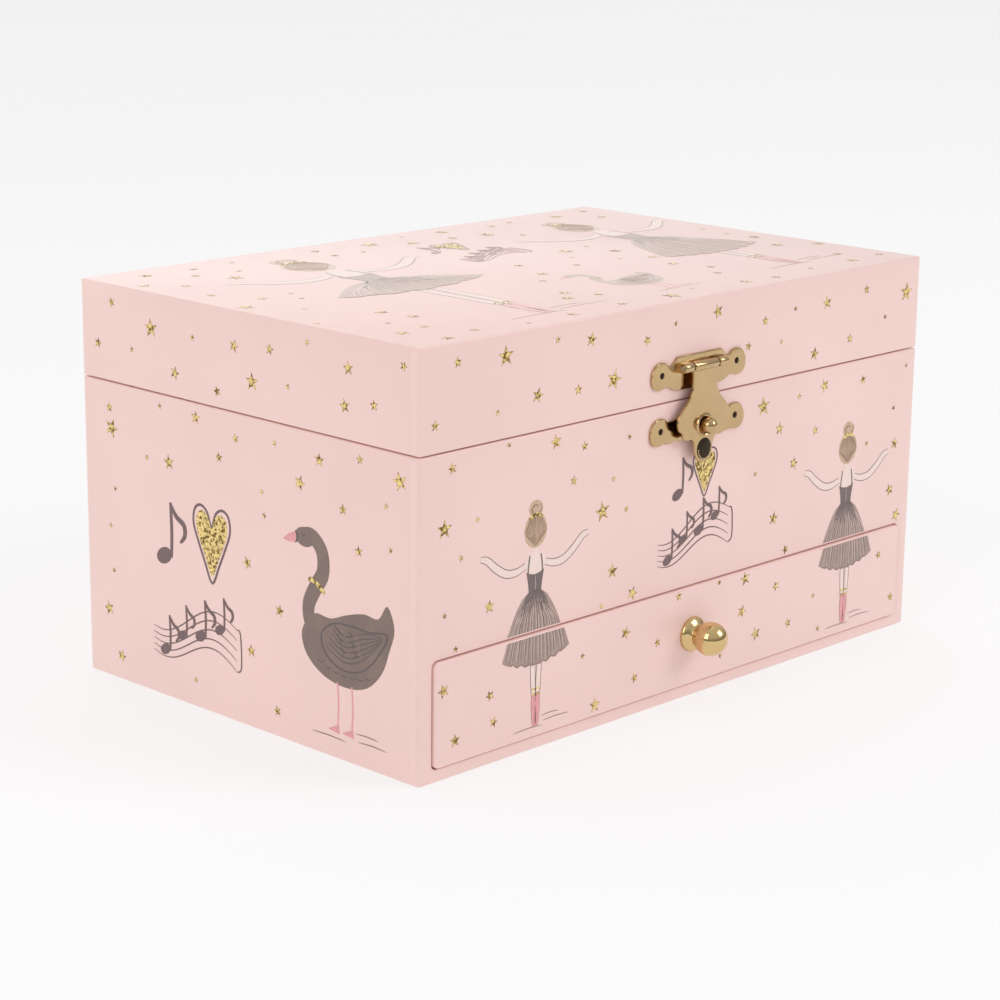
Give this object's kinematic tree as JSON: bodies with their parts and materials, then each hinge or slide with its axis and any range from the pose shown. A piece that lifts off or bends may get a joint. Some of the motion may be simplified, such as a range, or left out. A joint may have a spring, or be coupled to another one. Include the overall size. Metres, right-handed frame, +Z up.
{
  "type": "musical jewellery box",
  "caption": "Musical jewellery box with a hinged lid, a hasp, a full-width drawer, ring rolls, side trays and a turning dancer driven by a wound comb movement.",
  "frame": {"origin": "centre of the box's underside, on the surface it stands on", "axes": "+X to the right seen from the front, -Y out of the front with the drawer and hasp, +Z up"},
  "size_m": [0.22, 0.1793, 0.121],
  "materials": {
    "printed_board": "satin printed paper over fibreboard",
    "lining_board": "matt lining paper over fibreboard",
    "velvet_pad": "short-pile velvet over foam",
    "gilt_brass": "polished pale brass plate",
    "movement_brass": "plain brass",
    "steel": "plain steel",
    "mirror_glass": "silvered glass",
    "white_plastic": "moulded",
    "doll_plastic": "painted moulding",
    "tulle": "stiff net"
  },
  "bodies": {
    "case": {"base_panel": "lining_board", "left_side_panel": "printed_board", "right_side_panel": "printed_board", "front_panel": "printed_board", "back_panel": "printed_board", "drawer_bay_wall": "lining_board", "drawer_shelf": "lining_board", "left_divider": "lining_board", "right_divider": "lining_board", "stage_housing": "lining_board", "stage_deck": "velvet_pad", "ring_cushion_base": "velvet_pad", "ring_roll_1": "velvet_pad", "ring_roll_2": "velvet_pad", "ring_roll_3": "velvet_pad", "left_hinge_case_leaf": "gilt_brass", "left_hinge_pin": "steel", "right_hinge_case_leaf": "gilt_brass", "right_hinge_pin": "steel", "hasp_case_plate": "gilt_brass", "movement_bedplate": "movement_brass", "movement_screw_1": "steel", "movement_screw_2": "steel", "movement_screw_3": "steel", "cylinder_lower_bearing": "movement_brass", "cylinder_upper_bearing": "movement_brass", "music_comb": "steel", "comb_screw_1": "steel", "comb_screw_2": "steel", "idler_bracket": "movement_brass", "governor_bracket": "movement_brass"},
    "lid": {"lid_shell": "printed_board", "lid_mirror": "mirror_glass", "stop_press_block": "lining_board", "left_hinge_lid_leaf": "gilt_brass", "right_hinge_lid_leaf": "gilt_brass", "hasp_lid_plate": "gilt_brass", "hasp_pin": "steel"},
    "hasp": {"hasp_flap": "gilt_brass"},
    "drawer": {"drawer_front": "printed_board", "drawer_tray": "lining_board", "drawer_knob": "gilt_brass", "knob_screw": "steel"},
    "barrel": {"spring_barrel": "movement_brass", "barrel_cap": "movement_brass", "mainspring": "steel"},
    "key": {"winding_arbor": "steel", "winding_key": "gilt_brass"},
    "cylinder": {"music_cylinder": "movement_brass", "cylinder_arbor": "steel", "cylinder_gear": "movement_brass", "crown_wheel": "movement_brass", "dancer_plinth": "gilt_brass", "dancer_figure": "doll_plastic", "dancer_tutu": "tulle"},
    "idler": {"idler_arbor": "steel", "worm_wheel": "movement_brass"},
    "governor": {"governor_worm": "steel", "air_brake": "white_plastic"},
    "stop": {"stop_rod": "steel"}
  },
  "joints": [
    {"name": "lid_hinge", "type": "hinge", "parent": "case", "child": "lid", "pos_m": [0, 0.072, 0.0917], "axis": [-1, 0, 0], "range_deg": [0, 97]},
    {"name": "hasp_swing", "type": "hinge", "parent": "lid", "child": "hasp", "pos_m": [0.0022, -0.0746, 0.1016], "axis": [-1, 0, 0], "range_deg": [0, 110]},
    {"name": "drawer_slide", "type": "slide", "parent": "case", "child": "drawer", "axis": [0, -1, 0], "range_m": [0, 0.092]},
    {"name": "cylinder_spin", "type": "hinge", "parent": "case", "child": "cylinder", "pos_m": [0, 0.0523, 0.04], "axis": [0, 0, 1], "continuous": true},
    {"name": "barrel_spin", "type": "hinge", "parent": "case", "child": "barrel", "pos_m": [0, 0.0523, 0.017], "axis": [0, 1, 0], "continuous": true},
    {"name": "idler_spin", "type": "hinge", "parent": "case", "child": "idler", "pos_m": [-0.00975, 0.0523, 0.054], "axis": [0, 0, 1], "continuous": true},
    {"name": "governor_spin", "type": "hinge", "parent": "case", "child": "governor", "pos_m": [-0.01615, 0.0523, 0.0554], "axis": [0, 1, 0], "continuous": true},
    {"name": "key_turn", "type": "hinge", "parent": "case", "child": "key", "pos_m": [0, 0.075, 0.017], "axis": [0, 1, 0], "continuous": true},
    {"name": "stop_rod_slide", "type": "slide", "parent": "case", "child": "stop", "axis": [0, 0, 1], "range_m": [0, 0.0025]}
  ],
  "couplings": [
    {"joint": "barrel_spin", "follows": "cylinder_spin", "ratio": -0.5},
    {"joint": "idler_spin", "follows": "cylinder_spin", "ratio": -5},
    {"joint": "governor_spin", "follows": "cylinder_spin", "ratio": -50},
    {"joint": "stop_rod_slide", "follows": "lid_hinge", "m_per_rad": 0.0014}
  ]
}
